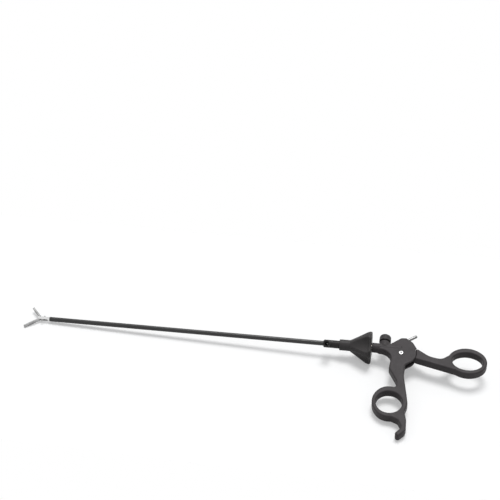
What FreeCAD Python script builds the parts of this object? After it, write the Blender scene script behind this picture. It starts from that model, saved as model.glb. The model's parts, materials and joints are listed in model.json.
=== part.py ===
import FreeCAD, Part
import math
import os
import re

import Sketcher
from FreeCAD import Placement, Rotation, Units, Vector

# Laparoscopic grasper, lying on its side as it does on a table.
# The origin is on the shaft's axis at the front face of the sheath hub. +X runs back along the
# shaft to the handle, +Y is the side of the release button, and the handle lies in the XY plane.
# It is modelled open: the thumb ring away from the finger ring and the two jaws apart.

SIZES = {
    # running clearances
    "running_gap": 0.05,
    "seat_gap": 0.02,
    "side_gap": 0.1,
    # shaft
    "shaft_radius": 2.5,
    "tube_radius": 2.2,
    "tube_bore": 1.75,
    "shaft_length": 302,
    "tube_in_hub": 10,
    "rod_radius": 0.8,
    "rod_bore": 1.0,
    # clevis and jaws
    "pivot_past": 11.6,
    "clevis_radius": 2.3,
    "clevis_shank": 9,
    "ear_radius": 2.05,
    "ear_step": 1.2,
    "clevis_slot_back": 9.6,
    "clevis_slot_half": 1.05,
    "jaw_pin_radius": 0.6,
    "tail_inner": 0.35,
    "tail_outer": 1.0,
    "jaw_hub_radius": 1.5,
    "jaw_reach": 19.8,
    "jaw_radius": 2.3,
    "jaw_half_width": 1.6,
    "jaw_throat": 2.2,
    "jaw_split": 0.05,
    "jaw_tip_round": 1.5,
    "window_half_width": 0.65,
    "window_near": 6.5,
    "window_far": 15.5,
    "tooth_pitch": 0.9,
    "tooth_depth": 0.35,
    "jaw_swing": 45,
    "drive_pin_radius": 0.45,
    "drive_near": 2.0,
    "cam_wall": 0.5,
    "blade_half": 0.3,
    "blade_height": 1.5,
    "blade_length": 3.0,
    # thumb lever travel
    "thumb_swing": 26,
    "pivot_x": 80,
    "pivot_drop": 7.5,
    "ball_radius": 1.8,
    # sheath hub and flush port
    "hub_radius": 4.05,
    "hub_length": 16.6,
    "hub_chamfer": 0.8,
    "hub_tail": 1.4,
    "port_x": 4.2,
    "port_turn": 135,
    "port_stem_radius": 2.4,
    "port_mouth_radius": 3.6,
    "port_bore": 2.1,
    "port_height": 12.6,
    "port_mouth_height": 3.4,
    "port_bore_depth": 8,
    "seal_radius": 1.7,
    "seal_width": 1.8,
    # union nut, knob and spigot
    "nut_radius": 5.7,
    "nut_length": 10.8,
    "knob_radius": 17.3,
    "knob_rim_x": 46,
    "knob_back": 49.6,
    "knob_lobes": 5,
    "knob_turn": 17,
    "flute_radius": 12,
    "flute_start": 6.0,
    "flute_end": 12.6,
    "lip_flute_radius": 20,
    "lip_flute_end": 14.4,
    "lip_width": 2.2,
    "spigot_radius": 2.9,
    "spigot_end": 66,
    "groove_radius": 1.5,
    "groove_half": 1.15,
    # barrel and release button
    "barrel_radius": 5.05,
    "barrel_front": 50,
    "bush_wall": 0.9,
    "bush_length": 10,
    "button_x": 62.8,
    "button_radius": 6.0,
    "button_foot": 8.8,
    "button_top": 16.4,
    "button_travel": 1.4,
    "button_dome": 1.6,
    "boss_radius": 5.7,
    "boss_top": 7.3,
    "latch_half": 0.8,
    "latch_hole": 3.0,
    "latch_rim": 1.0,
    "stem_radius": 1.5,
    "spring_pocket": 3.5,
    "spring_floor": 5.2,
    "spring_recess": 2.1,
    "spring_radius": 2.7,
    "spring_wire": 0.3,
    "spring_turns": 4,
    # head of the handle
    "cheek_radius": 15.3,
    "shoulder_low": -60,
    "shoulder_high": 27,
    "lever_half": 2.2,
    "hub_disc": 6.2,
    "fork_reach": 10.4,
    "fork_arc": 32,
    "fork_wall": 1.4,
    "sector_radius": 12.0,
    "sector_low": -70,
    "sector_high": 30,
    "mouth_low": -72,
    "mouth_high": 36,
    "pivot_radius": 1.6,
    "pivot_head": 2.4,
    "pivot_sink": 1.1,
    "pivot_bush_wall": 1.0,
    "screw_proud": 0.15,
    # electrode pin
    "electrode_x": 84.6,
    "electrode_y": 13.2,
    "electrode_turn": 40,
    "electrode_radius": 1.6,
    "electrode_length": 12,
    "electrode_sunk": 6,
    "electrode_root": 1.2,
    "electrode_collar": 2.3,
    "collar_length": 1.2,
    # grips
    "grip_half": 4.4,
    "grip_round": 1.5,
    "finger_x": 72.1,
    "finger_y": -74.5,
    "finger_hole_x": 12.6,
    "finger_hole_y": 13.5,
    "finger_front_wall": 3.9,
    "finger_rear_wall": 4.2,
    "finger_top_wall": 6.8,
    "finger_low_wall": 5.2,
    "thumb_x": 146,
    "thumb_y": -11.25,
    "thumb_hole_x": 14.9,
    "thumb_hole_y": 11.95,
    "thumb_wall": 4.3,
    "thumb_top_wall": 6.2,
    "thumb_low_wall": 5.1,
    "guard_radius": 12.0,
    "junction_round": 2.2,
    "oval_fullness": 0.97,
    "octagon_share": 0.41421,
    "lever_room": 0.3,
}

doc = FreeCAD.newDocument("laparoscopic_grasper")
sheet = doc.addObject("Spreadsheet::Sheet", "Sizes")
for row, (alias, value) in enumerate(SIZES.items(), start=1):
    sheet.set("A%d" % row, alias)
    sheet.set("B%d" % row, str(value))
    sheet.setAlias("B%d" % row, alias)
doc.recompute()

AXIS_X = Vector(1, 0, 0)
AXIS_Y = Vector(0, 1, 0)
AXIS_Z = Vector(0, 0, 1)
WORD = re.compile(r"[a-z][a-z_]*")
parts = []


def expression(text):
    """The sheet expression for a sum such as "knob_back - 2 * seat_gap"."""
    return WORD.sub(lambda word: "Sizes." + word.group(0), text)


def number(text):
    """The value of the same sum, read from the sheet."""
    return Units.Quantity(WORD.sub(lambda word: repr(float(sheet.get(word.group(0)))), text)).Value


def bind(thing, path, text):
    thing.setExpression(path, expression(text))


def finished(thing, label):
    """Marks a sub-part: its label names its file."""
    thing.Label = label
    parts.append(thing)
    return thing


def origin_plane(body, role):
    for feature in body.Origin.OriginFeatures:
        if feature.Role == role:
            return feature
    raise ValueError(role)


def place(thing, x="0", y="0", z="0", rotation=None):
    thing.Placement = Placement(Vector(number(x), number(y), number(z)), rotation or Rotation())
    for axis, text in zip("xyz", (x, y, z)):
        if WORD.search(text):
            bind(thing, "Placement.Base." + axis, text)
    return thing


def to_axis(direction):
    """The turn that takes the X axis of a turned piece to a direction."""
    return Rotation(AXIS_X, direction)


# Sketches

def add_corner(sketch, first, position, x, y):
    """Fixes a point of the sketch at a place given as two sums."""
    for kind, text in (("DistanceX", x), ("DistanceY", y)):
        index = sketch.addConstraint(Sketcher.Constraint(kind, -1, 1, first, position, number(text)))
        if WORD.search(text):
            bind(sketch, "Constraints[%d]" % index, text)


def corner_arc(before, here, after, radius):
    """The arc that rounds a corner: its ends on the two sides, its centre and its turning sense."""
    inward = (here - before).normalize()
    outward = (after - here).normalize()
    turn = math.atan2(inward.cross(outward).z, inward.dot(outward))
    setback = radius * math.tan(abs(turn) / 2)
    left = Vector(-inward.y, inward.x, 0)
    start = here - inward * setback
    centre = start + left * math.copysign(radius, turn)
    return start, here + outward * setback, centre, turn > 0


def outline(body, plane, name, corners):
    """A closed outline of straight sides. Each corner is (x, y) or (x, y, radius of its arc)."""
    sketch = body.newObject("Sketcher::SketchObject", name)
    sketch.AttachmentSupport = [(origin_plane(body, plane), "")]
    sketch.MapMode = "FlatFace"
    points = [Vector(number(corner[0]), number(corner[1]), 0) for corner in corners]
    arcs = []
    for index, corner in enumerate(corners):
        around = (points[index - 1], points[index], points[(index + 1) % len(points)])
        arcs.append(corner_arc(*around, number(corner[2])) if len(corner) == 3 else None)
    sides = []
    for index, arc in enumerate(arcs):
        following = (index + 1) % len(points)
        start = arc[1] if arc else points[index]
        end = arcs[following][0] if arcs[following] else points[following]
        sides.append(sketch.addGeometry(Part.LineSegment(start, end), False))
    for index, corner in enumerate(corners):
        side_in, side_out = sides[index - 1], sides[index]
        if not arcs[index]:
            sketch.addConstraint(Sketcher.Constraint("Coincident", side_in, 2, side_out, 1))
            add_corner(sketch, side_out, 1, corner[0], corner[1])
            continue
        start, end, centre, is_left = arcs[index]
        first, last = (start, end) if is_left else (end, start)
        angles = [math.atan2(point.y - centre.y, point.x - centre.x) for point in (first, last)]
        circle = Part.Circle(centre, AXIS_Z, number(corner[2]))
        arc = sketch.addGeometry(Part.ArcOfCircle(circle, *angles), False)
        apex = sketch.addGeometry(Part.Point(points[index]), True)
        add_corner(sketch, apex, 1, corner[0], corner[1])
        for side in (side_in, side_out):
            sketch.addConstraint(Sketcher.Constraint("PointOnObject", apex, 1, side))
        ends = (1, 2) if is_left else (2, 1)
        sketch.addConstraint(Sketcher.Constraint("Tangent", side_in, 2, arc, ends[0]))
        sketch.addConstraint(Sketcher.Constraint("Tangent", side_out, 1, arc, ends[1]))
        radius = sketch.addConstraint(Sketcher.Constraint("Radius", arc, number(corner[2])))
        if WORD.search(corner[2]):
            bind(sketch, "Constraints[%d]" % radius, corner[2])
    return sketch


def oval(body, name, centre_x, centre_y, half_x, half_y):
    """A closed oval about a centre: an octagon whose rounded corners nearly meet."""
    span = "((%s)^2 + (%s)^2)^0.5" % (half_x, half_y)
    arc = "oval_fullness * octagon_share * (%s) * (%s) / (%s - (%%s))" % (half_x, half_y, span)
    corners = []
    for east, north, first_is_side in (("+", "+", True), ("-", "+", False), ("-", "-", True), ("+", "-", False)):
        side = ("%s %s (%s)" % (centre_x, east, half_x),
                "%s %s octagon_share * (%s)" % (centre_y, north, half_y), arc % half_y)
        end = ("%s %s octagon_share * (%s)" % (centre_x, east, half_x),
               "%s %s (%s)" % (centre_y, north, half_y), arc % half_x)
        corners += [side, end] if first_is_side else [end, side]
    return outline(body, "XY_Plane", name, corners)


# Features

def pad(body, sketch, half):
    """A plate of the sketch, as far above its plane as below."""
    feature = body.newObject("PartDesign::Pad", sketch.Name + "_pad")
    feature.Profile = sketch
    feature.SideType = "Symmetric"
    bind(feature, "Length", "2 * (%s)" % half)
    return feature


def pocket(body, sketch, half):
    feature = body.newObject("PartDesign::Pocket", sketch.Name + "_cut")
    feature.Profile = sketch
    feature.SideType = "Symmetric"
    bind(feature, "Length", "2 * (%s)" % half)
    return feature


def fillet(body, base, edges, radius):
    feature = body.newObject("PartDesign::Fillet", base.Name + "_round")
    feature.Base = (base, edges)
    bind(feature, "Radius", radius)
    return feature


def is_sharp(shape, edge):
    """Whether the two faces at an edge meet at a visible angle."""
    point = edge.Vertexes[0].Point
    faces = shape.ancestorsOfType(edge, Part.Face)
    normals = [face.normalAt(*face.Surface.parameter(point)) for face in faces]
    return len(normals) == 2 and math.degrees(normals[0].getAngle(normals[1])) > 1


def edges_where(feature, test):
    return ["Edge%d" % (i + 1) for i, edge in enumerate(feature.Shape.Edges) if test(edge)]


def turned(label, profile, rotation=None, **position):
    """A piece turned about the X axis from an outline of (x, radius) corners."""
    body = doc.addObject("PartDesign::Body", label)
    sketch = outline(body, "XY_Plane", label + "_profile", profile)
    feature = body.newObject("PartDesign::Revolution", label + "_turn")
    feature.Profile = sketch
    feature.ReferenceAxis = (sketch, ["H_Axis"])
    feature.Angle = 360
    place(body, rotation=rotation, **position)
    body.Label = label
    return body


def ring(label, front, back, inner, outer, **position):
    """A plain tube along X, from front to back."""
    return turned(label, [(front, inner), (back, inner), (back, outer), (front, outer)], **position)


def rod(label, front, back, radius, **position):
    return turned(label, [(front, "0"), (back, "0"), (back, radius), (front, radius)], **position)


def cylinder(name, radius, length, rotation=None, **position):
    thing = doc.addObject("Part::Cylinder", name)
    bind(thing, "Radius", radius)
    bind(thing, "Height", length)
    return place(thing, rotation=rotation, **position)


def box(name, length, width, height, **position):
    thing = doc.addObject("Part::Box", name)
    bind(thing, "Length", length)
    bind(thing, "Width", width)
    bind(thing, "Height", height)
    return place(thing, **position)


def sector(name, radius, half, low, high):
    """A slice of a disc about the handle's pivot, from one angle to another."""
    thing = doc.addObject("Part::Cylinder", name)
    bind(thing, "Radius", radius)
    bind(thing, "Height", "2 * (%s)" % half)
    bind(thing, "Angle", "(%s) - (%s)" % (high, low))
    place(thing, "pivot_x", "-pivot_drop", "-(%s)" % half)
    bind(thing, "Placement.Rotation.Angle", low)
    thing.Placement.Rotation = Rotation(AXIS_Z, number(low))
    return thing


def joined(name, pieces):
    thing = doc.addObject("Part::MultiFuse", name)
    thing.Shapes = pieces
    thing.Refine = True
    return thing


def cut(name, base, tools):
    thing = doc.addObject("Part::Cut", name)
    thing.Base = base
    thing.Tool = tools[0] if len(tools) == 1 else joined(name + "_tools", tools)
    thing.Refine = True
    return thing


def common(name, pieces):
    thing = doc.addObject("Part::MultiCommon", name)
    thing.Shapes = pieces
    thing.Refine = True
    return thing


def shaped(name, shape, placement=None):
    """A piece whose form is worked out from the sheet's sizes."""
    thing = doc.addObject("Part::Feature", name)
    thing.Shape = shape
    thing.Placement = placement or Placement()
    return thing


# Shaft

def make_shaft():
    finished(ring("insulation_sleeve", "-shaft_length", "0", "tube_radius + seat_gap", "shaft_radius"),
             "insulation_sleeve")
    finished(ring("outer_tube", "-shaft_length", "tube_in_hub", "tube_bore", "tube_radius"), "outer_tube")


def make_clevis():
    """The fork at the tip: a round collar with two ears, and a shank inside the tube."""
    collar_front = "-(shaft_length + pivot_past) - 2 * ear_radius"
    barrel = turned("clevis_barrel", [
        ("-shaft_length + clevis_shank", "rod_bore"),
        ("-shaft_length + clevis_shank", "tube_bore - seat_gap"),
        ("-shaft_length", "tube_bore - seat_gap"),
        ("-shaft_length", "clevis_radius"),
        (collar_front, "clevis_radius"),
        (collar_front, "rod_bore"),
    ])
    full_half = "2 * clevis_radius"
    trunk = box("clevis_trunk", "(shaft_length + pivot_past)", full_half, full_half,
                x="ear_step - (shaft_length + pivot_past)", y="-clevis_radius", z="-clevis_radius")
    ears = cylinder("clevis_ears", "ear_radius", full_half, x="-(shaft_length + pivot_past)", z="-clevis_radius")
    form = common("clevis_form", [barrel, joined("clevis_envelope", [trunk, ears])])
    slot = box("clevis_slot", "clevis_slot_back + 2 * ear_radius", full_half, "2 * clevis_slot_half",
               x=collar_front, y="-clevis_radius", z="-clevis_slot_half")
    hole = cylinder("clevis_hole", "jaw_pin_radius + seat_gap", full_half,
                    x="-(shaft_length + pivot_past)", z="-clevis_radius")
    finished(cut("clevis", form, [slot, hole]), "clevis")
    pin_half = "clevis_radius - side_gap"
    pin = rod("jaw_pivot_pin", "-(%s)" % pin_half, pin_half, "jaw_pin_radius",
              rotation=to_axis(AXIS_Z), x="-(shaft_length + pivot_past)")
    finished(pin, "jaw_pivot_pin")


# Jaws and their cams

def drive_stroke():
    """How far the rod travels: the ball is carried by the lever on an arm of pivot_drop."""
    return 2 * number("pivot_drop") * math.tan(math.radians(number("thumb_swing") / 2))


def band(points, half_width, height):
    """A plate of even width along a curve, with round ends."""
    curve = Part.BSplineCurve()
    curve.interpolate(points)
    first, last = curve.FirstParameter, curve.LastParameter
    sides = {}
    for side in (1, -1):
        offsets = []
        for index in range(len(points)):
            at = first + (last - first) * index / (len(points) - 1)
            along = curve.tangent(at)[0]
            offsets.append(curve.value(at) + Vector(-along.y, along.x, 0) * half_width * side)
        edge = Part.BSplineCurve()
        edge.interpolate(offsets)
        sides[side] = (edge, offsets)
    caps = []
    for at, index, forward in ((last, -1, 1), (first, 0, -1)):
        top = curve.value(at) + curve.tangent(at)[0] * half_width * forward
        caps.append(Part.Arc(sides[1][1][index], top, sides[-1][1][index]))
    wire = Part.Wire(Part.__sortEdges__([item.toShape() for item in
                                         (sides[1][0], caps[0], sides[-1][0], caps[1])]))
    return Part.Face(wire).extrude(Vector(0, 0, height))


def cam_path():
    """The drive pin's path in the jaw: a spiral, so that equal strokes turn the jaw equally."""
    far = number("drive_near") + drive_stroke()
    steps = 8
    points = []
    for step in range(steps + 1):
        turn = math.radians(number("jaw_swing")) * step / steps
        reach = far - drive_stroke() * step / steps
        points.append(Vector(reach * math.cos(turn), reach * math.sin(turn), 0))
    return points


def jaw_beak():
    """The gripping half in front of the pivot: half round outside, toothed inside, with a window."""
    reach = number("jaw_reach")
    radius = number("jaw_radius")
    half = number("jaw_half_width")
    throat = number("jaw_throat")
    split = number("jaw_split")
    tip = number("jaw_tip_round")
    beak = Part.makeCylinder(radius, reach, Vector(-reach, 0, 0), AXIS_X)
    beak = beak.common(Part.makeBox(reach - throat * 0.7, radius, 2 * half, Vector(-reach, split, -half)))
    beak = beak.cut(Part.makeCylinder(throat, 2 * radius, Vector(0, 0, -radius), AXIS_Z))
    corner = Part.makeBox(tip, radius, 2 * radius, Vector(-reach, radius - tip, -radius))
    corner = corner.cut(Part.makeCylinder(tip, 2 * radius, Vector(tip - reach, radius - tip, -radius), AXIS_Z))
    beak = beak.cut(corner)
    for side in (1, -1):
        corner = Part.makeBox(tip, radius, tip, Vector(-reach, 0, half - tip if side > 0 else -half))
        post = Part.makeCylinder(tip, radius, Vector(tip - reach, 0, side * (half - tip)), AXIS_Y)
        beak = beak.cut(corner.cut(post))
    near, far = number("window_near"), number("window_far")
    width = number("window_half_width")
    window = Part.makeBox(far - near, radius, 2 * width, Vector(-far, 0, -width))
    for end in (near, far):
        window = window.fuse(Part.makeCylinder(width, radius, Vector(-end, 0, 0), AXIS_Y))
    return beak.cut(window)


def teeth():
    """The V grooves across the gripping face."""
    pitch = number("tooth_pitch")
    depth = number("tooth_depth")
    half = number("jaw_half_width")
    split = number("jaw_split")
    grooves = []
    at = number("jaw_throat") + pitch * 2
    while at < number("jaw_reach") - pitch * 1.5:
        outline_points = [Vector(-at, split + depth, -half), Vector(-at - pitch / 2, split - depth, -half),
                          Vector(-at + pitch / 2, split - depth, -half)]
        face = Part.Face(Part.makePolygon(outline_points + outline_points[:1]))
        grooves.append(face.extrude(Vector(0, 0, 2 * half)))
        at += pitch
    return grooves


def jaw_shape():
    """One jaw closed, its pivot at the origin: beak in front, cam tail behind, on one side."""
    inner, outer = number("tail_inner"), number("tail_outer")
    height = outer - inner
    base = Vector(0, 0, inner)
    throat = number("jaw_throat")
    hub = number("jaw_hub_radius")
    beak = jaw_beak().cut(teeth()[0].multiFuse(teeth()[1:]))
    disc = Part.makeCylinder(hub, height, base, AXIS_Z)
    neck = Part.makeBox(throat * 1.5, hub - number("jaw_split"), height,
                        Vector(-throat * 1.5, number("jaw_split"), inner))
    half_width = number("drive_pin_radius + running_gap")
    tail = band(cam_path(), half_width + number("cam_wall"), height)
    slot = band(cam_path(), half_width, height)
    for piece in (tail, slot):
        piece.translate(base)
    web_end = cam_path()[-1]
    web = Part.makeBox(web_end.x + half_width, hub, height, Vector(0, 0, inner))
    jaw = beak.multiFuse([disc, neck, tail, web]).removeSplitter()
    bore = Part.makeCylinder(number("jaw_pin_radius + running_gap"), height, base, AXIS_Z)
    return jaw.cut(slot).cut(bore)


def make_jaws():
    """Two like jaws, the lower one the upper turned half round the shaft, both shown open."""
    pivot = Vector(-number("(shaft_length + pivot_past)"), 0, 0)
    swing = number("jaw_swing")
    upper = shaped("upper_jaw", jaw_shape(), Placement(pivot, Rotation(AXIS_Z, -swing)))
    flipped = Rotation(AXIS_Z, swing).multiply(Rotation(AXIS_X, 180))
    lower = shaped("lower_jaw", jaw_shape(), Placement(pivot, flipped))
    finished(upper, "upper_jaw")
    finished(lower, "lower_jaw")


# Pull rod

def open_offset():
    """How far the ball stands in front of the pivot while the jaws are open."""
    return drive_stroke() / 2


def make_pull_rod():
    """A long rod with a flat blade and cross pin in the clevis and a ball in the lever's fork."""
    drive_x = number("drive_near - (shaft_length + pivot_past)")
    blade_end = drive_x + number("blade_length")
    ball_x = number("pivot_x") - open_offset()
    radius = number("rod_radius")
    blade_half = number("blade_half")
    height = number("blade_height")
    pin = number("drive_pin_radius")
    nose = Part.makeCylinder(height / 2, 2 * blade_half, Vector(drive_x, 0, -blade_half), AXIS_Z)
    flat = Part.makeBox(blade_end - drive_x + radius, height, 2 * blade_half,
                        Vector(drive_x, -height / 2, -blade_half))
    stem = Part.makeCylinder(radius, ball_x - blade_end, Vector(blade_end, 0, 0), AXIS_X)
    hole = Part.makeCylinder(pin + number("seat_gap"), 2 * blade_half, Vector(drive_x, 0, -blade_half), AXIS_Z)
    ball = Part.makeSphere(number("ball_radius"), Vector(ball_x, 0, 0))
    core = nose.multiFuse([flat, stem]).removeSplitter().cut(hole).cut(ball)
    finished(shaped("pull_rod", core), "pull_rod")
    finished(shaped("rod_ball", ball), "rod_ball")
    pin_half = number("tail_outer")
    cross = Part.makeCylinder(pin, 2 * pin_half, Vector(drive_x, 0, -pin_half), AXIS_Z)
    finished(shaped("drive_pin", cross), "drive_pin")


# Rotor behind the shaft

def make_hub():
    """The sheath hub, bored for the tube and the rod's seal, with the flush port's stem let in."""
    tail_end = "hub_length + hub_tail"
    hub = turned("hub_turned", [
        ("0", "tube_radius + seat_gap"),
        ("tube_in_hub", "tube_radius + seat_gap"),
        ("tube_in_hub", "rod_bore"),
        (tail_end, "rod_bore"),
        (tail_end, "spigot_radius"),
        ("hub_length", "spigot_radius"),
        ("hub_length", "hub_radius"),
        ("hub_chamfer", "hub_radius"),
        ("0", "hub_radius - hub_chamfer"),
    ])
    seal_front = "tube_in_hub + seal_width"
    seat = ring("seal_seat", seal_front, seal_front + " + seal_width", "rod_bore", "seal_radius + seat_gap")
    way = cylinder("port_way", "port_stem_radius + seat_gap", "hub_radius",
                   rotation=Rotation(AXIS_Z, port_direction()), x="port_x")
    hub_cut = cut("sheath_hub", hub, [seat, way])
    finished(hub_cut, "sheath_hub")
    seal = ring("rod_seal", seal_front, seal_front + " + seal_width", "rod_radius + running_gap", "seal_radius")
    finished(seal, "rod_seal")


def port_direction():
    turn = math.radians(number("port_turn"))
    return Vector(0, math.cos(turn), math.sin(turn))


def make_flush_port():
    """A short spout with a flared mouth, standing out of the hub."""
    foot = "tube_radius + side_gap"
    mouth = "port_height - port_mouth_height"
    port = turned("port_turned", [
        (foot, "rod_bore"),
        ("port_height - port_bore_depth", "rod_bore"),
        ("port_height - port_bore_depth", "port_bore"),
        ("port_height", "port_bore"),
        ("port_height", "port_mouth_radius"),
        (mouth, "port_mouth_radius", "0.8"),
        (mouth + " - 0.9", "port_stem_radius", "0.6"),
        (foot, "port_stem_radius"),
    ], rotation=to_axis(port_direction()), x="port_x")
    tube_way = cylinder("port_tube_way", "tube_radius + side_gap", "hub_length",
                        rotation=to_cylinder_x(), x="-hub_length / 2")
    finished(cut("port_cut", port, [tube_way]), "flush_port")


def to_cylinder_x():
    """The turn that lays a cylinder along X."""
    return Rotation(AXIS_Z, AXIS_X)


def make_knob():
    """The rotation knob: a flared cone with flats between its lobes, and a lip at the back."""
    nut_back = "hub_length + nut_length"
    bore = "spigot_radius + seat_gap"
    nut = turned("union_nut", [
        ("hub_length", bore),
        (nut_back, bore),
        (nut_back, "nut_radius"),
        ("hub_length + 0.5", "nut_radius", "0.4"),
        ("hub_length", "nut_radius - 0.5"),
    ])
    finished(nut, "union_nut")
    cone = turned("knob_cone", [
        (nut_back, bore),
        ("knob_back", bore),
        ("knob_back", "knob_radius - 1.6", "0.4"),
        ("knob_back - 1.2", "knob_radius - 0.3", "1.0"),
        ("knob_rim_x - 0.6", "knob_radius", "2.5"),
        (nut_back, "nut_radius"),
    ], rotation=Rotation(AXIS_X, number("knob_turn")))
    finished(cut("knob_fluted", cone, knob_flutes()), "rotation_knob")


def knob_flutes():
    """The scoops between the knob's lobes: deep ones up the cone and shallow ones across its lip."""
    deep_from = Vector(number("hub_length + nut_length"), number("flute_start + flute_radius"), 0)
    deep_to = Vector(number("knob_back - lip_width"), number("flute_end + flute_radius"), 0)
    lip_from = Vector(number("knob_back - 2 * lip_width"), number("lip_flute_end + lip_flute_radius"), 0)
    lip_to = lip_from + Vector(number("3 * lip_width"), 0, 0)
    flutes = []
    for lobe in range(int(number("knob_lobes"))):
        turn = Rotation(AXIS_X, number("knob_turn") + 360 / number("knob_lobes") * (lobe + 0.5))
        for name, radius, start, end in (("flute", "flute_radius", deep_from, deep_to),
                                         ("lip_flute", "lip_flute_radius", lip_from, lip_to)):
            along = turn.multVec(end - start)
            scoop = cylinder("%s_%d" % (name, lobe), radius, repr(along.Length), rotation=Rotation(AXIS_Z, along))
            scoop.Placement.Base = turn.multVec(start)
            flutes.append(scoop)
    return flutes


def make_spigot():
    """The steel spigot that carries the rotor in the handle, with the groove for the latch."""
    front = "hub_length + hub_tail"
    spigot = turned("spigot", [
        (front, "rod_bore"),
        ("spigot_end", "rod_bore"),
        ("spigot_end", "spigot_radius - 0.6"),
        ("spigot_end - 0.6", "spigot_radius"),
        ("button_x + groove_half", "spigot_radius"),
        ("button_x + groove_half", "groove_radius"),
        ("button_x - groove_half", "groove_radius"),
        ("button_x - groove_half", "spigot_radius"),
        (front, "spigot_radius"),
    ])
    finished(spigot, "spigot")


# Release button

def make_button():
    """The cap, the steel slide with the ring that drops into the groove, and the spring."""
    cap = turned("cap_turned", [
        ("button_foot", "stem_radius + running_gap"),
        ("button_foot + spring_recess", "0"),
        ("button_top", "0"),
        ("button_top", "button_radius", "button_dome"),
        ("button_foot", "button_radius", "0.4"),
    ], rotation=to_axis(AXIS_Y), x="button_x")
    recess = cylinder("button_recess", "spring_pocket", "spring_recess",
                      rotation=Rotation(AXIS_Z, AXIS_Y), x="button_x", y="button_foot")
    finished(cut("button_cap", cap, [recess]), "release_button")

    ring_outer = "latch_hole + latch_rim"
    lie = to_cylinder_x()
    disc = cylinder("latch_disc", ring_outer, "2 * latch_half", rotation=lie,
                    x="button_x - latch_half", y="button_travel")
    stem_length = "button_foot + spring_recess - button_travel - latch_hole - latch_rim / 2"
    stem = cylinder("latch_stem", "stem_radius", stem_length, rotation=Rotation(AXIS_Z, AXIS_Y),
                    x="button_x", y="button_travel + latch_hole + latch_rim / 2")
    hole = cylinder("latch_opening", "latch_hole", "2 * latch_half", rotation=lie,
                    x="button_x - latch_half", y="button_travel")
    finished(cut("latch_slide", joined("latch_body", [disc, stem]), [hole]), "latch_slide")
    make_button_spring()


def make_button_spring():
    """A coil that stands on the pocket's floor and lifts the cap."""
    wire = number("spring_wire")
    low = number("spring_floor + spring_wire + seat_gap")
    high = number("button_foot + spring_recess - spring_wire - seat_gap")
    turns = number("spring_turns")
    helix = Part.makeHelix((high - low) / turns, high - low, number("spring_radius"))
    start = Vector(number("spring_radius"), 0, 0)
    corners = [start + Vector(math.cos(turn), 0, math.sin(turn)) * wire
               for turn in (math.radians(60 * side) for side in range(7))]
    coil = Part.Wire(helix).makePipeShell([Part.makePolygon(corners)], True, True)
    upright = Placement(Vector(number("button_x"), low, 0), Rotation(AXIS_X, -90))
    finished(shaped("button_spring", coil, upright), "button_spring")


# Handle frame

def grip_pad(body, name, corners):
    return pad(body, outline(body, "XY_Plane", name, corners), "grip_half")


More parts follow.
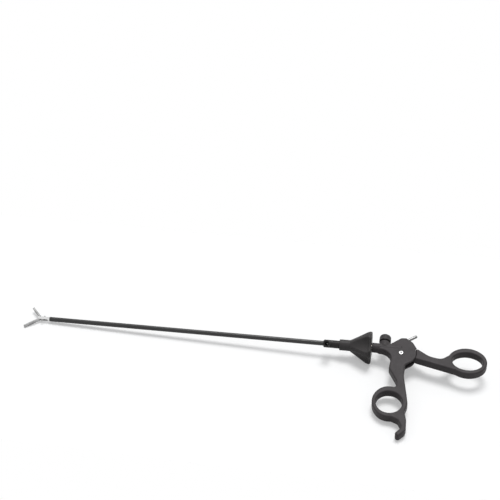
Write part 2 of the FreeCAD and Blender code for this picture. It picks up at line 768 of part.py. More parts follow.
def make_handle_frame():
    """One moulding: barrel, head with its lever slot, front leg, finger ring and finger hook."""
    body = doc.addObject("PartDesign::Body", "grip_body")
    front_leg = "pivot_x - 8.8"
    ring_rear = "finger_x + finger_hole_x + finger_rear_wall + 1.3"
    ring_low = "finger_y - finger_hole_y - finger_low_wall"
    grip_pad(body, "plate_outline", [
        ("barrel_front + 6", "-barrel_radius + 0.4"),
        (front_leg, "-barrel_radius - 0.8", "guard_radius"),
        ("pivot_x - 11", "-29.6", "4"),
        ("pivot_x - 2.2", "-47", "9"),
        ("finger_x + 5", "finger_y + finger_hole_y + 2.5"),
        ("finger_x + finger_hole_x + 2", "finger_y + 3"),
        ("finger_x + finger_hole_x + 2", "finger_y - 3"),
        ("finger_x + 1", ring_low + " + 3"),
        ("finger_x + 3", ring_low + " + 0.3"),
        ("finger_x + 9.6", "finger_y - 21.2", "5"),
        ("finger_x + 13.6", "finger_y - 30", "5"),
        ("finger_x + 7.2", "finger_y - 37.4", "2.2"),
        ("finger_x + 10.6", "finger_y - 41.2", "2.4"),
        ("finger_x + 17.8", "finger_y - 33", "8"),
        ("finger_x + 17.6", "finger_y - 20.5", "14"),
        ("finger_x + 15.2", "finger_y - 9.4", "6"),
        (ring_rear, "finger_y - 1", "14"),
        ("finger_x + 16.4", "finger_y + 11", "60"),
        ("pivot_x + 4.4", "-38", "40"),
        ("pivot_x + 4.8", "-23.6", "4"),
        ("pivot_x + 12", "-18.4", "2"),
        ("pivot_x + 15.4", "-12", "6"),
        ("pivot_x + 16.6", "-1.5", "9"),
        ("pivot_x + 11.4", "8.8", "8"),
        ("electrode_x - 0.4", "electrode_y + 1.2", "1.6"),
        ("electrode_x - 5.6", "electrode_y + 0.6", "1.6"),
        ("barrel_front + 17.6", "3.4", "2"),
        ("barrel_front + 15", "0"),
    ])
    ring_x = "finger_x + (finger_rear_wall - finger_front_wall) / 2"
    ring_y = "finger_y + (finger_top_wall - finger_low_wall) / 2"
    pad(body, oval(body, "finger_outer", ring_x, ring_y,
                   "finger_hole_x + (finger_rear_wall + finger_front_wall) / 2",
                   "finger_hole_y + (finger_top_wall + finger_low_wall) / 2"), "grip_half")
    hole = pocket(body, oval(body, "finger_hole", "finger_x", "finger_y", "finger_hole_x", "finger_hole_y"),
                  "grip_half")
    doc.recompute()

    def at_junction(edge):
        """The upright edges where the ring's outside meets the leg and the hook."""
        middle = edge.CenterOfMass
        if edge.BoundBox.ZLength < number("grip_half"):
            return False
        from_ring = middle - Vector(number("finger_x"), number("finger_y"), 0)
        if not 1 < from_ring.x < 9 or not is_sharp(hole.Shape, edge):
            return False
        at_leg = number("finger_hole_y + 4") < from_ring.y < number("finger_hole_y + 9")
        at_hook = -number("finger_hole_y + 7") < from_ring.y < -number("finger_hole_y + 3")
        return at_leg or at_hook

    softened = fillet(body, hole, edges_where(hole, at_junction), "junction_round")
    doc.recompute()

    def on_rim(edge):
        """The edges of the two flat faces, except where the plate sinks into the barrel."""
        middle = edge.CenterOfMass
        level = abs(abs(middle.z) - number("grip_half")) < 0.01
        return level and (middle.y < -number("barrel_radius") or middle.x > number("barrel_front + 17")
                          and middle.y > number("barrel_radius"))

    fillet(body, softened, edges_where(softened, on_rim), "grip_round")
    return body


def make_head(grip):
    """The barrel, the button's boss and the round head, hollowed for the lever, pins and rotor."""
    barrel = rod("barrel", "barrel_front", "pivot_x", "barrel_radius")
    boss = cylinder("button_boss", "boss_radius", "boss_top", rotation=Rotation(AXIS_Z, AXIS_Y), x="button_x")
    solid = joined("frame_solid", [grip, barrel, boss])
    shoulder = cut("shoulder_room", sector("shoulder_ring", "2 * cheek_radius", "2 * grip_half", "shoulder_low",
                                           "shoulder_high"),
                   [cylinder("cheek_disc", "cheek_radius", "6 * grip_half", x="pivot_x", y="-pivot_drop",
                             z="-3 * grip_half")])
    slots = [
        shoulder,
        cylinder("hub_room", "hub_disc + lever_room", "2 * lever_half + side_gap", x="pivot_x",
                 y="-pivot_drop", z="-lever_half - side_gap / 2"),
        sector("fork_room", "fork_reach + 1", "lever_half + side_gap / 2", "90 - fork_arc - thumb_swing / 2",
               "90 + fork_arc + thumb_swing / 2"),
        sector("plate_room", "sector_radius + lever_room", "lever_half + side_gap / 2",
               "sector_low - thumb_swing - 1", "mouth_high"),
        sector("head_mouth", "2 * cheek_radius", "lever_half + side_gap / 2", "mouth_low", "mouth_high"),
    ]
    bores = [
        rod("bush_bore", "barrel_front - 1", "barrel_front + bush_length",
            "spigot_radius + running_gap + bush_wall + seat_gap"),
        rod("rotor_bore", "barrel_front", "spigot_end + side_gap", "spigot_radius + running_gap"),
        rod("rod_way", "barrel_front", "pivot_x", "rod_bore + side_gap"),
        rod("latch_way", "button_x - latch_half - side_gap", "button_x + latch_half + side_gap",
            "latch_hole + latch_rim + side_gap"),
        cylinder("stem_way", "stem_radius + side_gap", "boss_top", rotation=Rotation(AXIS_Z, AXIS_Y),
                 x="button_x", y="latch_hole + latch_rim / 2 - side_gap"),
        box("latch_shaft", "2 * latch_half + 2 * side_gap", "boss_top + 1",
            "2 * latch_hole + 2 * latch_rim + 2 * side_gap", x="button_x - latch_half - side_gap",
            z="-latch_hole - latch_rim - side_gap"),
        cylinder("spring_pocket_cut", "spring_pocket", "boss_top", rotation=Rotation(AXIS_Z, AXIS_Y),
                 x="button_x", y="spring_floor"),
        cylinder("pivot_hole", "pivot_radius + seat_gap", "4 * grip_half", x="pivot_x", y="-pivot_drop",
                 z="-2 * grip_half"),
        cylinder("electrode_hole", "electrode_root + seat_gap", "electrode_sunk",
                 rotation=Rotation(AXIS_Z, electrode_direction()), **electrode_base()),
        cylinder("electrode_seat", "electrode_collar + seat_gap", "electrode_length",
                 rotation=Rotation(AXIS_Z, electrode_direction()), **electrode_base("0")),
    ]
    for name, z in (("sink_top", "grip_half - pivot_sink"), ("sink_bottom", "-2 * grip_half")):
        height = "2 * grip_half" if name == "sink_top" else "grip_half + pivot_sink"
        bores.append(cylinder(name, "pivot_head + seat_gap", height, x="pivot_x", y="-pivot_drop", z=z))
    finished(cut("handle_frame", solid, slots + bores), "handle_frame")
    bush = ring("barrel_bush", "barrel_front", "barrel_front + bush_length", "spigot_radius + running_gap",
                "spigot_radius + running_gap + bush_wall")
    finished(bush, "barrel_bush")


def electrode_direction():
    turn = math.radians(number("electrode_turn"))
    return Vector(math.cos(turn), math.sin(turn), 0)


def electrode_base(back="electrode_sunk"):
    """The sunk end of the electrode pin, or its seat."""
    along = electrode_direction()
    return {"x": "electrode_x - (%s) * %.6f" % (back, along.x),
            "y": "electrode_y - (%s) * %.6f" % (back, along.y)}


def make_electrode_pin():
    """A pin with a collar seated on the head and a thinner root sunk into it."""
    collar_top = "electrode_sunk + collar_length"
    tip = collar_top + " + electrode_length"
    pin = turned("electrode_pin", [
        ("0", "0"),
        (tip, "0"),
        (tip, "electrode_radius", "0.8"),
        (collar_top, "electrode_radius"),
        (collar_top, "electrode_collar", "0.3"),
        ("electrode_sunk", "electrode_collar"),
        ("electrode_sunk", "electrode_root"),
        ("0", "electrode_root"),
    ], rotation=to_axis(electrode_direction()), **electrode_base())
    finished(pin, "electrode_pin")


# Thumb lever

def make_pivot():
    """The screw that the lever turns on, its nut, and the lever's bush."""
    bottom = "-grip_half + pivot_sink"
    top = "grip_half - pivot_sink"
    head_top = "grip_half + screw_proud"
    screw = turned("screw_turned", [
        ("-grip_half + 0.3", "0"),
        (head_top, "0"),
        (head_top, "pivot_head", "0.5"),
        (top, "pivot_head"),
        (top, "pivot_radius"),
        ("-grip_half + 0.3", "pivot_radius"),
    ], rotation=to_axis(AXIS_Z), x="pivot_x", y="-pivot_drop")
    socket = cylinder("screw_socket", "pivot_radius / 2", "1", x="pivot_x", y="-pivot_drop", z="grip_half - 0.5")
    finished(cut("pivot_screw_cut", screw, [socket]), "pivot_screw")
    nut = ring("pivot_nut", "-grip_half - screw_proud", bottom, "pivot_radius + seat_gap", "pivot_head",
               rotation=to_axis(AXIS_Z), x="pivot_x", y="-pivot_drop")
    finished(nut, "pivot_nut")
    bush = ring("pivot_bush", "-lever_half", "lever_half", "pivot_radius + running_gap",
                "pivot_radius + running_gap + pivot_bush_wall",
                rotation=to_axis(AXIS_Z), x="pivot_x", y="-pivot_drop")
    finished(bush, "pivot_bush")


def make_thumb_lever():
    """Arm and thumb ring in one moulding, with a thin plate that swings in the head's slot."""
    body = doc.addObject("PartDesign::Body", "lever_body")
    grip_pad(body, "arm_outline", [
        ("pivot_x + 10", "-3.4"),
        ("pivot_x + 16.4", "0", "2"),
        ("pivot_x + 28.5", "-8.9", "20"),
        ("thumb_x - 25.5", "-11.2", "8"),
        ("thumb_x - 10.6", "thumb_y + 13.2"),
        ("thumb_x - thumb_hole_x - 2", "thumb_y"),
        ("thumb_x - 1", "thumb_y - thumb_hole_y - thumb_low_wall + 0.5"),
        ("pivot_x + 11", "-12.8"),
    ])
    ring_y = "thumb_y + (thumb_top_wall - thumb_low_wall) / 2"
    ring_half = "thumb_hole_y + (thumb_top_wall + thumb_low_wall) / 2"
    pad(body, oval(body, "thumb_outer", "thumb_x", ring_y, "thumb_hole_x + thumb_wall", ring_half),
        "grip_half")
    hole = pocket(body, oval(body, "thumb_hole", "thumb_x", "thumb_y", "thumb_hole_x", "thumb_hole_y"),
                  "grip_half")
    doc.recompute()

    def at_junction(edge):
        middle = edge.CenterOfMass
        if edge.BoundBox.ZLength < number("grip_half"):
            return False
        from_ring = middle - Vector(number("thumb_x"), number("thumb_y"), 0)
        if not -20 < from_ring.x < -3 or from_ring.Length < number("thumb_hole_x") + 1:
            return False
        return is_sharp(hole.Shape, edge)

    softened = fillet(body, hole, edges_where(hole, at_junction), "junction_round")
    doc.recompute()

    def on_rim(edge):
        level = abs(abs(edge.CenterOfMass.z) - number("grip_half")) < 0.01
        return level and edge.CenterOfMass.x > number("pivot_x + 12")

    fillet(body, softened, edges_where(softened, on_rim), "grip_round")
    clear = cylinder("cheek_room", "cheek_radius + lever_room", "4 * grip_half", x="pivot_x", y="-pivot_drop",
                     z="-2 * grip_half")
    slab = cylinder("slot_slab", "cheek_radius + 2", "2 * lever_half", x="pivot_x", y="-pivot_drop",
                    z="-lever_half")
    arm = cut("lever_arm", body, [clear])
    core = common("lever_core", [body, slab])
    disc = cylinder("lever_disc", "hub_disc", "2 * lever_half", x="pivot_x", y="-pivot_drop", z="-lever_half")
    plate = sector("lever_plate", "sector_radius", "lever_half", "sector_low", "sector_high")
    lever = joined("lever_solid", [arm, core, disc, plate])
    bush_hole = cylinder("bush_hole", "pivot_radius + running_gap + pivot_bush_wall + seat_gap",
                         "4 * grip_half", x="pivot_x", y="-pivot_drop", z="-2 * grip_half")
    finished(cut("thumb_lever", lever, [bush_hole, fork_seat()]), "thumb_lever")
    finished(fork(), "ball_fork")


def fork_turn():
    return Rotation(AXIS_Z, number("thumb_swing") / 2)


def about_pivot(name, shape):
    """A piece drawn upright about the pivot, then turned to the open lever."""
    pivot = Vector(number("pivot_x"), -number("pivot_drop"), 0)
    return shaped(name, shape, Placement(pivot, fork_turn()))


def fork_block(grow):
    half = number("ball_radius + running_gap + fork_wall") + grow
    low = number("pivot_radius + running_gap + pivot_bush_wall") + 1.2 - grow
    thick = number("lever_half") + (1 if grow else 0)
    return Part.makeBox(2 * half, number("fork_reach") - low, 2 * thick, Vector(-half, low, -thick))


def fork_seat():
    return about_pivot("fork_seat", fork_block(number("seat_gap")))


def fork():
    """The steel fork that holds the rod's ball: two prongs, the front one split for the rod."""
    block = fork_block(0)
    half = number("ball_radius + running_gap")
    depth = 2 * number("lever_half")
    arm = number("pivot_drop")
    reach = number("fork_reach")
    gap = Part.makeBox(2 * half, reach, 2 * depth, Vector(-half, arm - half - number("side_gap"), -depth))
    rod_half = number("rod_radius + side_gap")
    front = half + number("fork_wall")
    swing_room = front * math.tan(math.radians(number("thumb_swing") / 2)) + number("side_gap")
    rod_slot = Part.makeBox(2 * front, reach, 2 * rod_half,
                            Vector(-2 * front, arm - rod_half - swing_room, -rod_half))
    return about_pivot("ball_fork", block.cut(gap).cut(rod_slot))


make_shaft()
make_clevis()
make_jaws()
make_pull_rod()
make_hub()
make_flush_port()
make_knob()
make_spigot()
make_button()
make_head(make_handle_frame())
make_electrode_pin()
make_pivot()
make_thumb_lever()
doc.recompute()

for thing in doc.Objects:
    if "Invalid" in thing.State or "Error" in thing.State:
        raise SystemExit("failed: %s %s" % (thing.Name, thing.State))
for part in parts:
    if part.Shape.isNull() or not part.Shape.isValid() or len(part.Shape.Solids) != 1:
        raise SystemExit("not a valid shape: " + part.Label)
os.makedirs("parts", exist_ok=True)
for part in parts:
    part.Shape.exportStep("parts/%s.step" % part.Label)
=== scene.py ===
import json
import math

import bpy
from mathutils import Matrix, Vector
from mathutils.bvhtree import BVHTree


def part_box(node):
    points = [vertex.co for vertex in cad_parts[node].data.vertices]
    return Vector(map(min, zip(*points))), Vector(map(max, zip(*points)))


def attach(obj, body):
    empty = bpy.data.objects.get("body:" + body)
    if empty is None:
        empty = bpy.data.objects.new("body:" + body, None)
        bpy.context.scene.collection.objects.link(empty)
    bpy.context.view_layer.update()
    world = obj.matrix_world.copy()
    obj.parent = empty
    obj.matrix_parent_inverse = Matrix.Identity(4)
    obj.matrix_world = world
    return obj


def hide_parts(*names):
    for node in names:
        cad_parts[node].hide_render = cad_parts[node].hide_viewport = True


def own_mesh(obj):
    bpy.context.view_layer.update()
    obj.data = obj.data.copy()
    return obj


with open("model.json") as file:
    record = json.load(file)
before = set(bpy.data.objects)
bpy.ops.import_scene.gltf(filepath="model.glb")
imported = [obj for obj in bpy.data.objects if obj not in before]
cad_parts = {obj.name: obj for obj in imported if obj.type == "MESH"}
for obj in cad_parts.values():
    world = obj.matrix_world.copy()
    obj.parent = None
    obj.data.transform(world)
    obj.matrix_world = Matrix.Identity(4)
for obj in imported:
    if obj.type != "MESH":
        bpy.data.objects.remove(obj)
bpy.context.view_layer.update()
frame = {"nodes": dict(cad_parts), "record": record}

# The photograph's camera, as it stands over the table: metres and degrees
FOCAL_PIXELS = 910.2
IMAGE_PIXELS = 500
SENSOR_MM = 36
PITCH = math.radians(37.78)
CAMERA_HEIGHT = 0.6755
CENTRE_DROP = 1 / IMAGE_PIXELS

# How the instrument lies on that table
TUBE_START = Vector((-0.2228, 0.7457, 0.003))
TUBE_START_X = -0.305
YAW = math.radians(-10.58)
TILT = math.radians(3.07)
ROLL = math.radians(1.95)

# The three pieces on which it rests, and the end of the last one that touches
RESTING_NODES = ("lower_jaw", "rotation_knob", "handle_frame")
HOOK_BELOW_Y = -0.1
FLOOR_GAP = 0.0001
FLOOR_ROUNDS = 3

# The floor's reach from the knob's contact, past the shadows and short of a level view
FLOOR_ALONG = (-0.55, 0.32)
FLOOR_ACROSS = (-0.165, 0.22)


def row_from_table():
    """The table's own frame, seen from the instrument's."""
    along = Vector((math.cos(YAW) * math.cos(TILT), math.sin(YAW) * math.cos(TILT), math.sin(TILT)))
    level = Vector((math.sin(YAW), -math.cos(YAW), 0))
    lifted = level.cross(along)
    if lifted.z < 0:
        lifted.negate()
    side = math.cos(ROLL) * level - math.sin(ROLL) * lifted
    rise = math.sin(ROLL) * level + math.cos(ROLL) * lifted
    table_from_row = Matrix((along, -side, rise)).transposed().to_4x4()
    table_from_row.translation = TUBE_START - along * TUBE_START_X
    return table_from_row.inverted()


def make_camera():
    data = bpy.data.cameras.new("camera")
    data.sensor_width = SENSOR_MM
    data.lens = FOCAL_PIXELS / IMAGE_PIXELS * SENSOR_MM
    data.shift_y = CENTRE_DROP
    camera = bpy.data.objects.new("camera", data)
    bpy.context.scene.collection.objects.link(camera)
    at_table = Matrix.Translation((0, 0, CAMERA_HEIGHT)) @ Matrix.Rotation(math.pi / 2 - PITCH, 4, "X")
    camera.matrix_world = row_from_table() @ at_table
    bpy.context.scene.camera = camera


def lowest(node, up):
    """The lowest point of a piece. Of the handle only the finger hook can touch."""
    thing = frame["nodes"][node]
    points = [thing.matrix_world @ vertex.co for vertex in thing.data.vertices]
    if node == RESTING_NODES[2]:
        points = [point for point in points if point.y < HOOK_BELOW_Y]
    return min(points, key=up.dot)


def floor_matrix():
    """A plane through the three contacts, a hair below them."""
    up = Vector((0, 0, 1))
    for _ in range(FLOOR_ROUNDS):
        tip, knob, hook = (lowest(node, up) for node in RESTING_NODES)
        up = (hook - tip).cross(knob - tip).normalized()
    along = (knob - tip).normalized()
    matrix = Matrix((along, up.cross(along), up)).transposed().to_4x4()
    matrix.translation = knob - up * FLOOR_GAP
    return matrix


# Node helpers

NOISE_ROUGHNESS = 0.6

# Moulded plastic: its shine, and the scales and spreads of its mottling, gloss and grain
PLASTIC_SPECULAR = 0.14
MOTTLING_SCALE = 60
GLOSS_SCALE = 320
GLOSS_SPREAD = 0.05
GRAIN_STRENGTH = 0.35

# The mould's parting line
PARTING_HALF = 0.00018
PARTING_HEIGHT = 0.00012
PARTING_STRENGTH = 0.6

# Drawn and ground surfaces: the scale and strength of their lines
LINE_SCALE = 900
TONE_SCALE = LINE_SCALE / 6
LINE_STRENGTH = 0.3

# The pivot screw's socket, with painted shade in its recess, and the screw's marks and gloss
SOCKET_RADIUS = 0.0008
SOCKET_EDGE = 0.2
# The grey of the painted shade in the socket; the steel's own grey is the next value
SOCKET_PAINTED_SHADE = 0.16
SOCKET_LIGHT = 0.72
SCREW_MARKS = 700
SCREW_GLOSS = (0.14, 0.22)


def new_material(name):
    material = bpy.data.materials.new(name)
    material.use_nodes = True
    nodes = material.node_tree.nodes
    nodes.clear()
    return material, nodes, material.node_tree.links


def noise(nodes, links, coordinates, scale, detail=3.0):
    node = nodes.new("ShaderNodeTexNoise")
    node.inputs["Scale"].default_value = scale
    node.inputs["Detail"].default_value = detail
    node.inputs["Roughness"].default_value = NOISE_ROUGHNESS
    links.new(coordinates, node.inputs["Vector"])
    return node.outputs["Fac"]


def stretched(nodes, links, scale):
    """Object coordinates, pulled along the axes."""
    place = nodes.new("ShaderNodeTexCoord")
    mapping = nodes.new("ShaderNodeMapping")
    mapping.inputs["Scale"].default_value = scale
    links.new(place.outputs["Object"], mapping.inputs["Vector"])
    return mapping.outputs["Vector"]


def ramp(nodes, links, factor, low, high, start=0.35, end=0.65):
    """Turns a noise into a colour between two, or into a grey used as a number."""
    node = nodes.new("ShaderNodeValToRGB")
    node.color_ramp.elements[0].position = start
    node.color_ramp.elements[1].position = end
    node.color_ramp.elements[0].color = low
    node.color_ramp.elements[1].color = high
    links.new(factor, node.inputs["Fac"])
    return node.outputs["Color"]


def grey(value):
    return (value, value, value, 1.0)


def bump(nodes, links, height, strength, distance, below=None):
    node = nodes.new("ShaderNodeBump")
    node.inputs["Strength"].default_value = strength
    node.inputs["Distance"].default_value = distance
    links.new(height, node.inputs["Height"])
    if below:
        links.new(below, node.inputs["Normal"])
    return node.outputs["Normal"]


def surface(nodes, links, colour, roughness, normal, **values):
    shader = nodes.new("ShaderNodeBsdfPrincipled")
    for key, value in values.items():
        shader.inputs[key.replace("_", " ")].default_value = value
    links.new(colour, shader.inputs["Base Color"])
    links.new(roughness, shader.inputs["Roughness"])
    links.new(normal, shader.inputs["Normal"])
    out = nodes.new("ShaderNodeOutputMaterial")
    links.new(shader.outputs["BSDF"], out.inputs["Surface"])


def parting_line(nodes, links, below):
    """The raised line that the two halves of the mould leave round the middle plane."""
    place = nodes.new("ShaderNodeTexCoord")
    split = nodes.new("ShaderNodeSeparateXYZ")
    links.new(place.outputs["Object"], split.inputs[0])
    off_plane = nodes.new("ShaderNodeMath")
    off_plane.operation = "ABSOLUTE"
    links.new(split.outputs["Z"], off_plane.inputs[0])
    on_line = nodes.new("ShaderNodeMapRange")
    on_line.inputs["From Min"].default_value = 0
    on_line.inputs["From Max"].default_value = PARTING_HALF
    on_line.inputs["To Min"].default_value = 1
    on_line.inputs["To Max"].default_value = 0
    links.new(off_plane.outputs[0], on_line.inputs["Value"])
    return bump(nodes, links, on_line.outputs["Result"], PARTING_STRENGTH, PARTING_HEIGHT, below)


def moulded(name, dark, light, rough, grain=2600, depth=0.00003, parted=False):
    """Moulded plastic: a fine spark-eroded grain, faint mottling and uneven gloss."""
    material, nodes, links = new_material(name)
    plain = stretched(nodes, links, (1, 1, 1))
    colour = ramp(nodes, links, noise(nodes, links, plain, MOTTLING_SCALE, 4), dark, light)
    wear = noise(nodes, links, plain, GLOSS_SCALE)
    gloss = ramp(nodes, links, wear, grey(rough - GLOSS_SPREAD), grey(rough + GLOSS_SPREAD))
    fine = bump(nodes, links, noise(nodes, links, plain, grain, 2), GRAIN_STRENGTH, depth)
    if parted:
        fine = parting_line(nodes, links, fine)
    surface(nodes, links, colour, gloss, fine, Specular_IOR_Level=PLASTIC_SPECULAR)
    return material


def drawn(name, dark, light, rough, metal=0.0, along=(1, 1, 1), depth=0.000004, uneven=0.04):
    """A drawn or ground surface: fine lines in one direction."""
    material, nodes, links = new_material(name)
    lines = stretched(nodes, links, along)
    streaks = noise(nodes, links, lines, LINE_SCALE, 4)
    colour = ramp(nodes, links, noise(nodes, links, lines, TONE_SCALE), dark, light)
    gloss = ramp(nodes, links, streaks, grey(rough - uneven), grey(rough + uneven))
    fine = bump(nodes, links, streaks, LINE_STRENGTH, depth)
    surface(nodes, links, colour, gloss, fine, Metallic=metal)
    return material


def steel_with_painted_socket_shade(name, axis):
    """Polished steel with painted shade round an upright axis: the socket is drawn in a darker grey, as if
    its recess were in shade.
    """
    material, nodes, links = new_material(name)
    flat = stretched(nodes, links, (1, 1, 0))
    from_axis = nodes.new("ShaderNodeVectorMath")
    from_axis.operation = "DISTANCE"
    links.new(flat, from_axis.inputs[0])
    from_axis.inputs[1].default_value = (axis[0], axis[1], 0)
    share = nodes.new("ShaderNodeMapRange")
    share.inputs["From Min"].default_value = SOCKET_RADIUS * (1 - SOCKET_EDGE)
    share.inputs["From Max"].default_value = SOCKET_RADIUS * (1 + SOCKET_EDGE)
    links.new(from_axis.outputs["Value"], share.inputs["Value"])
    # Painted shade: darker grey inside the socket's radius, the steel's own grey outside it
    colour = ramp(nodes, links, share.outputs["Result"], grey(SOCKET_PAINTED_SHADE), grey(SOCKET_LIGHT), 0.2, 0.8)
    marks = noise(nodes, links, stretched(nodes, links, (1, 1, 1)), SCREW_MARKS)
    gloss = ramp(nodes, links, marks, grey(SCREW_GLOSS[0]), grey(SCREW_GLOSS[1]))
    fine = bump(nodes, links, marks, 0.2, 0.000003)
    surface(nodes, links, colour, gloss, fine, Metallic=1.0)
    return material


# Materials, by the record's slots: two colours, a roughness and what else they need

ALONG_SHAFT = (0.05, 1, 1)


def slot_materials():
    return {
        "handle_plastic": moulded("handle_moulding", (0.043, 0.039, 0.040, 1),
                                  (0.051, 0.046, 0.048, 1), 0.5, parted=True),
        "knob_plastic": moulded("knob_moulding", (0.036, 0.034, 0.034, 1), (0.045, 0.042, 0.042, 1), 0.45),
        "hub_plastic": moulded("hub_moulding", (0.020, 0.019, 0.019, 1), (0.027, 0.025, 0.025, 1), 0.4),
        "black_sleeve": drawn("sleeve_polymer", grey(0.010), grey(0.012), 0.34, along=ALONG_SHAFT,
                              depth=0.0000015, uneven=0.015),
        "satin_steel": drawn("ground_steel", grey(0.30), grey(0.40), 0.34, 1.0, along=ALONG_SHAFT),
        "bright_steel": drawn("polished_steel", grey(0.62), grey(0.74), 0.16, 1.0, along=ALONG_SHAFT),
        "spring_steel": drawn("spring_wire", grey(0.42), grey(0.52), 0.28, 1.0),
        "bearing_bronze": drawn("bronze", (0.42, 0.26, 0.10, 1), (0.50, 0.31, 0.13, 1), 0.35, 1.0),
        "seal_rubber": moulded("rubber", grey(0.018), grey(0.026), 0.7, grain=1800),
    }


def dress(materials):
    """Every CAD node takes the material of its record slot, or one of its own."""
    dark_steel = drawn("turned_steel", grey(0.16), grey(0.24), 0.3, 1.0)
    low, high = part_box("pivot_screw")
    own = {
        "electrode_pin": dark_steel,
        "spigot": dark_steel,
        "clevis": materials["bright_steel"],
        # The pivot screw's socket gets painted shade
        "pivot_screw": steel_with_painted_socket_shade("screw_steel", (low + high) / 2),
    }
    for part in frame["record"]["subparts"]:
        data = frame["nodes"][part["node"]].data
        data.materials.clear()
        data.materials.append(own.get(part["node"], materials[part["material_slot"]]))


# Moulded pieces, drawn finer than their solids

SKIN_VOXEL = 0.00032
SKIN_PASSES = 8

# Round the pieces that move with the button, how far a skin's walls are sought and then set back
BUTTON_TRAVEL = 0.0014
WELL_MARGIN = 0.0007
WELL_EASE = 0.0003


def stand_in(name, mesh, node, body):
    """A finer piece in place of a CAD node, on the same body and of the same material."""
    piece = bpy.data.objects.new(name, mesh)
    bpy.context.scene.collection.objects.link(piece)
    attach(piece, body)
    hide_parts(node)
    return piece


def surface_of(node):
    """A CAD node's surface, in which nearest points can be looked up."""
    mesh = frame["nodes"][node].data
    points = [vertex.co for vertex in mesh.vertices]
    return BVHTree.FromPolygons(points, [face.vertices for face in mesh.polygons])


def is_swept(point, pieces):
    """Whether a point lies close to a piece, with the button up or down."""
    places = (point, point + Vector((0, BUTTON_TRAVEL, 0)))
    return any(piece.find_nearest(place, WELL_MARGIN)[0] for piece in pieces for place in places)


def moulded_skin(node, body, sliding=()):
    """The node's own form with the soft edges and run-in corners of a moulding."""
    piece = stand_in(node + "_skin", frame["nodes"][node].data.copy(), node, body)
    skin = piece.modifiers.new("skin", "REMESH")
    skin.mode = "VOXEL"
    skin.voxel_size = SKIN_VOXEL
    skin.use_smooth_shade = True
    soften = piece.modifiers.new("soften", "SMOOTH")
    soften.iterations = SKIN_PASSES
    made = piece.evaluated_get(bpy.context.evaluated_depsgraph_get())
    piece.data = bpy.data.meshes.new_from_object(made)
    piece.modifiers.clear()
    if not sliding:
        return
    walls = surface_of(node)
    pieces = [surface_of(inner) for inner in sliding]
    for vertex in piece.data.vertices:
        if is_swept(vertex.co, pieces):
            nearest, normal, _, _ = walls.find_nearest(vertex.co)
            vertex.co = nearest - normal * WELL_EASE


def make_spring():
    """The coil stays on its seat in the handle."""
    mesh = frame["nodes"]["button_spring"].data.copy()
    coil = stand_in("spring_coil", mesh, "button_spring", "handle")
    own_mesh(coil)


# Rotation knob: a flared cone with five scoops and a rounded lip

KNOB_BORE = 0.00295
KNOB_NECK = 0.0057
KNOB_RADIUS = 0.0173
KNOB_FULL_AT = 0.0183
KNOB_LIP = 0.0022
KNOB_LOBES = 5
KNOB_TURN = math.radians(17)
SCOOP_RADIUS = 0.012
SCOOP_START = 0.006
SCOOP_END = 0.0126
LIP_SCOOP_RADIUS = 0.020
LIP_SCOOP_DEPTH = 0.0144
EDGE_BLEND = 0.0007
KNOB_RINGS = 90
KNOB_SIDES = 240

# As shares of the lip's width: its fall, and where and over what width the scoops run out
LIP_FALL = 0.8
RUN_OUT_BEFORE = 1.5
RUN_OUT_WIDTH = 0.6

# Steps across the knob's two end faces
FRONT_STEP = 0.002
BACK_STEP = 0.0005
BACK_SHARES = (0.97, 0.9, 0.7, 0.5, 0.3)


def eased(value):
    value = min(max(value, 0), 1)
    return value * value * (3 - 2 * value)


def scoop(angle, floor, radius):
    """How far out a round scoop leaves the knob, seen along its axis."""
    centre = floor + radius
    reach = radius ** 2 - (centre * math.sin(angle)) ** 2
    return centre * math.cos(angle) - math.sqrt(reach) if reach > 0 else math.inf


def lesser(first, second, blend):
    """The smaller of two, with a rounded change from one to the other."""
    if second == math.inf:
        return first
    share = max(blend - abs(first - second), 0) / blend
    return min(first, second) - share * share * blend / 4


def knob_reach(along, length, angle):
    """The knob's radius at a distance from its front face and an angle."""
    cone = KNOB_NECK + (KNOB_RADIUS - KNOB_NECK) * along / KNOB_FULL_AT
    into_lip = min(max(along - (length - KNOB_LIP), 0), KNOB_LIP)
    lip = KNOB_RADIUS - (KNOB_LIP - math.sqrt(KNOB_LIP ** 2 - into_lip ** 2)) * LIP_FALL
    outer = lesser(cone, lip, 2 * EDGE_BLEND)
    pitch = 2 * math.pi / KNOB_LOBES
    off_centre = (angle - KNOB_TURN) % pitch - pitch / 2
    floor = SCOOP_START + (SCOOP_END - SCOOP_START) * along / (length - KNOB_LIP)
    deep = lesser(outer, scoop(off_centre, floor, SCOOP_RADIUS), EDGE_BLEND)
    shallow = lesser(outer, scoop(off_centre, LIP_SCOOP_DEPTH, LIP_SCOOP_RADIUS), EDGE_BLEND)
    share = eased((along - (length - RUN_OUT_BEFORE * KNOB_LIP)) / (RUN_OUT_WIDTH * KNOB_LIP))
    return deep + (shallow - deep) * share


def knob_rings(length):
    """Distances from the front face with the radius, as a share of the reach there or in metres."""
    rings = [(0, KNOB_BORE, 0), (0, KNOB_BORE + FRONT_STEP, 0)]
    rings += [(length * step / KNOB_RINGS, 0, 1) for step in range(KNOB_RINGS + 1)]
    rings += [(length, 0, share) for share in BACK_SHARES]
    return rings + [(length, KNOB_BORE + BACK_STEP, 0), (length, KNOB_BORE, 0)]


def make_knob(material):
    low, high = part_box("rotation_knob")
    length = high[0] - low[0]
    points, faces = [], []
    rings = knob_rings(length)
    for along, radius, share in rings:
        for side in range(KNOB_SIDES):
            angle = 2 * math.pi * side / KNOB_SIDES
            reach = radius + share * knob_reach(along, length, angle)
            points.append((low[0] + along, reach * math.cos(angle), reach * math.sin(angle)))
    for ring in range(len(rings)):
        for side in range(KNOB_SIDES):
            here, beside = ring * KNOB_SIDES, (ring + 1) % len(rings) * KNOB_SIDES
            after = (side + 1) % KNOB_SIDES
            faces.append((here + side, here + after, beside + after, beside + side))
    mesh = bpy.data.meshes.new("knob")
    mesh.from_pydata(points, [], faces)
    mesh.shade_smooth()
    mesh.materials.append(material)
    stand_in("knob", mesh, "rotation_knob", "rotor")


# Surroundings

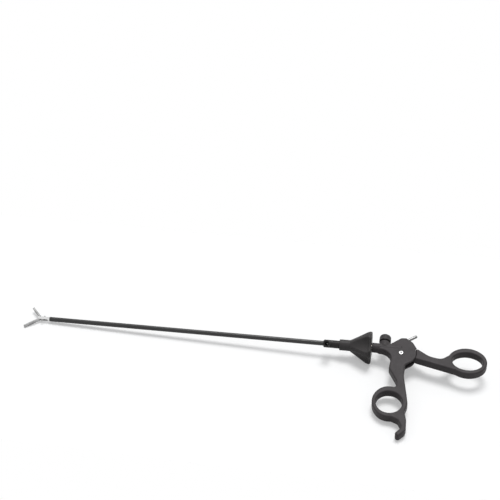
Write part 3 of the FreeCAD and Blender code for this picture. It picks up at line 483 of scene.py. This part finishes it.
FLOOR_GREY = 0.60
FLOOR_GLOW = 0.32
SKY_COLOUR = (0.97, 0.98, 1.0, 1)
SKY_LIGHT = 0.52
KEY_POWER = 2.25
KEY_SOFTNESS = math.radians(28)

# In the table's frame
KEY_PLACE = Vector((0.1, 1.25, 1.2))
KEY_TARGET = Vector((0, 0.75, 0))


def ray_kinds(nodes, links):
    """1 for the camera's rays and for those that metal or glass send to the background."""
    path = nodes.new("ShaderNodeLightPath")
    either = nodes.new("ShaderNodeMath")
    either.operation = "MAXIMUM"
    links.new(path.outputs["Is Camera Ray"], either.inputs[0])
    links.new(path.outputs["Is Glossy Ray"], either.inputs[1])
    both = nodes.new("ShaderNodeMath")
    both.operation = "MAXIMUM"
    links.new(either.outputs[0], both.inputs[0])
    links.new(path.outputs["Is Transmission Ray"], both.inputs[1])
    return both.outputs[0]


def make_world():
    world = bpy.data.worlds.new("studio")
    world.use_nodes = True
    nodes, links = world.node_tree.nodes, world.node_tree.links
    nodes.clear()
    shown = nodes.new("ShaderNodeBackground")
    shown.inputs["Color"].default_value = grey(1.0)
    shown.inputs["Strength"].default_value = 1.0
    light = nodes.new("ShaderNodeBackground")
    light.inputs["Color"].default_value = SKY_COLOUR
    light.inputs["Strength"].default_value = SKY_LIGHT
    mix = nodes.new("ShaderNodeMixShader")
    out = nodes.new("ShaderNodeOutputWorld")
    links.new(ray_kinds(nodes, links), mix.inputs["Fac"])
    links.new(light.outputs[0], mix.inputs[1])
    links.new(shown.outputs[0], mix.inputs[2])
    links.new(mix.outputs[0], out.inputs["Surface"])
    bpy.context.scene.world = world


def make_floor():
    material, nodes, links = new_material("studio_floor")
    matt = nodes.new("ShaderNodeBsdfDiffuse")
    matt.inputs["Color"].default_value = grey(FLOOR_GREY)
    glow = nodes.new("ShaderNodeEmission")
    glow.inputs["Color"].default_value = grey(1.0)
    strength = nodes.new("ShaderNodeMath")
    strength.operation = "MULTIPLY"
    strength.inputs[1].default_value = FLOOR_GLOW
    links.new(ray_kinds(nodes, links), strength.inputs[0])
    links.new(strength.outputs[0], glow.inputs["Strength"])
    total = nodes.new("ShaderNodeAddShader")
    out = nodes.new("ShaderNodeOutputMaterial")
    links.new(matt.outputs[0], total.inputs[0])
    links.new(glow.outputs[0], total.inputs[1])
    links.new(total.outputs[0], out.inputs["Surface"])
    mesh = bpy.data.meshes.new("floor")
    (front, back), (near, far) = FLOOR_ALONG, FLOOR_ACROSS
    corners = [(front, near, 0), (back, near, 0), (back, far, 0), (front, far, 0)]
    mesh.from_pydata(corners, [], [(0, 1, 2, 3)])
    mesh.materials.append(material)
    floor = bpy.data.objects.new("floor", mesh)
    bpy.context.scene.collection.objects.link(floor)
    floor.matrix_world = floor_matrix()


def make_key():
    """One soft lamp from behind and above, which the camera doesn't see."""
    data = bpy.data.lights.new("key", "SUN")
    data.energy = KEY_POWER
    data.angle = KEY_SOFTNESS
    key = bpy.data.objects.new("key", data)
    key.visible_camera = False
    bpy.context.scene.collection.objects.link(key)
    table = row_from_table()
    start, end = table @ KEY_PLACE, table @ KEY_TARGET
    aim = (end - start).to_track_quat("-Z", "Y")
    key.matrix_world = Matrix.Translation(start) @ aim.to_matrix().to_4x4()


for lit in [thing for thing in bpy.data.objects if thing.type == "LIGHT"]:
    bpy.data.objects.remove(lit)
make_camera()
make_world()
make_floor()
make_key()
materials = slot_materials()
dress(materials)
moulded_skin("handle_frame", "handle", ("latch_slide", "button_spring"))
moulded_skin("thumb_lever", "thumb_lever")
make_spring()
make_knob(materials["knob_plastic"])

bpy.context.scene.view_settings.view_transform = "Standard"
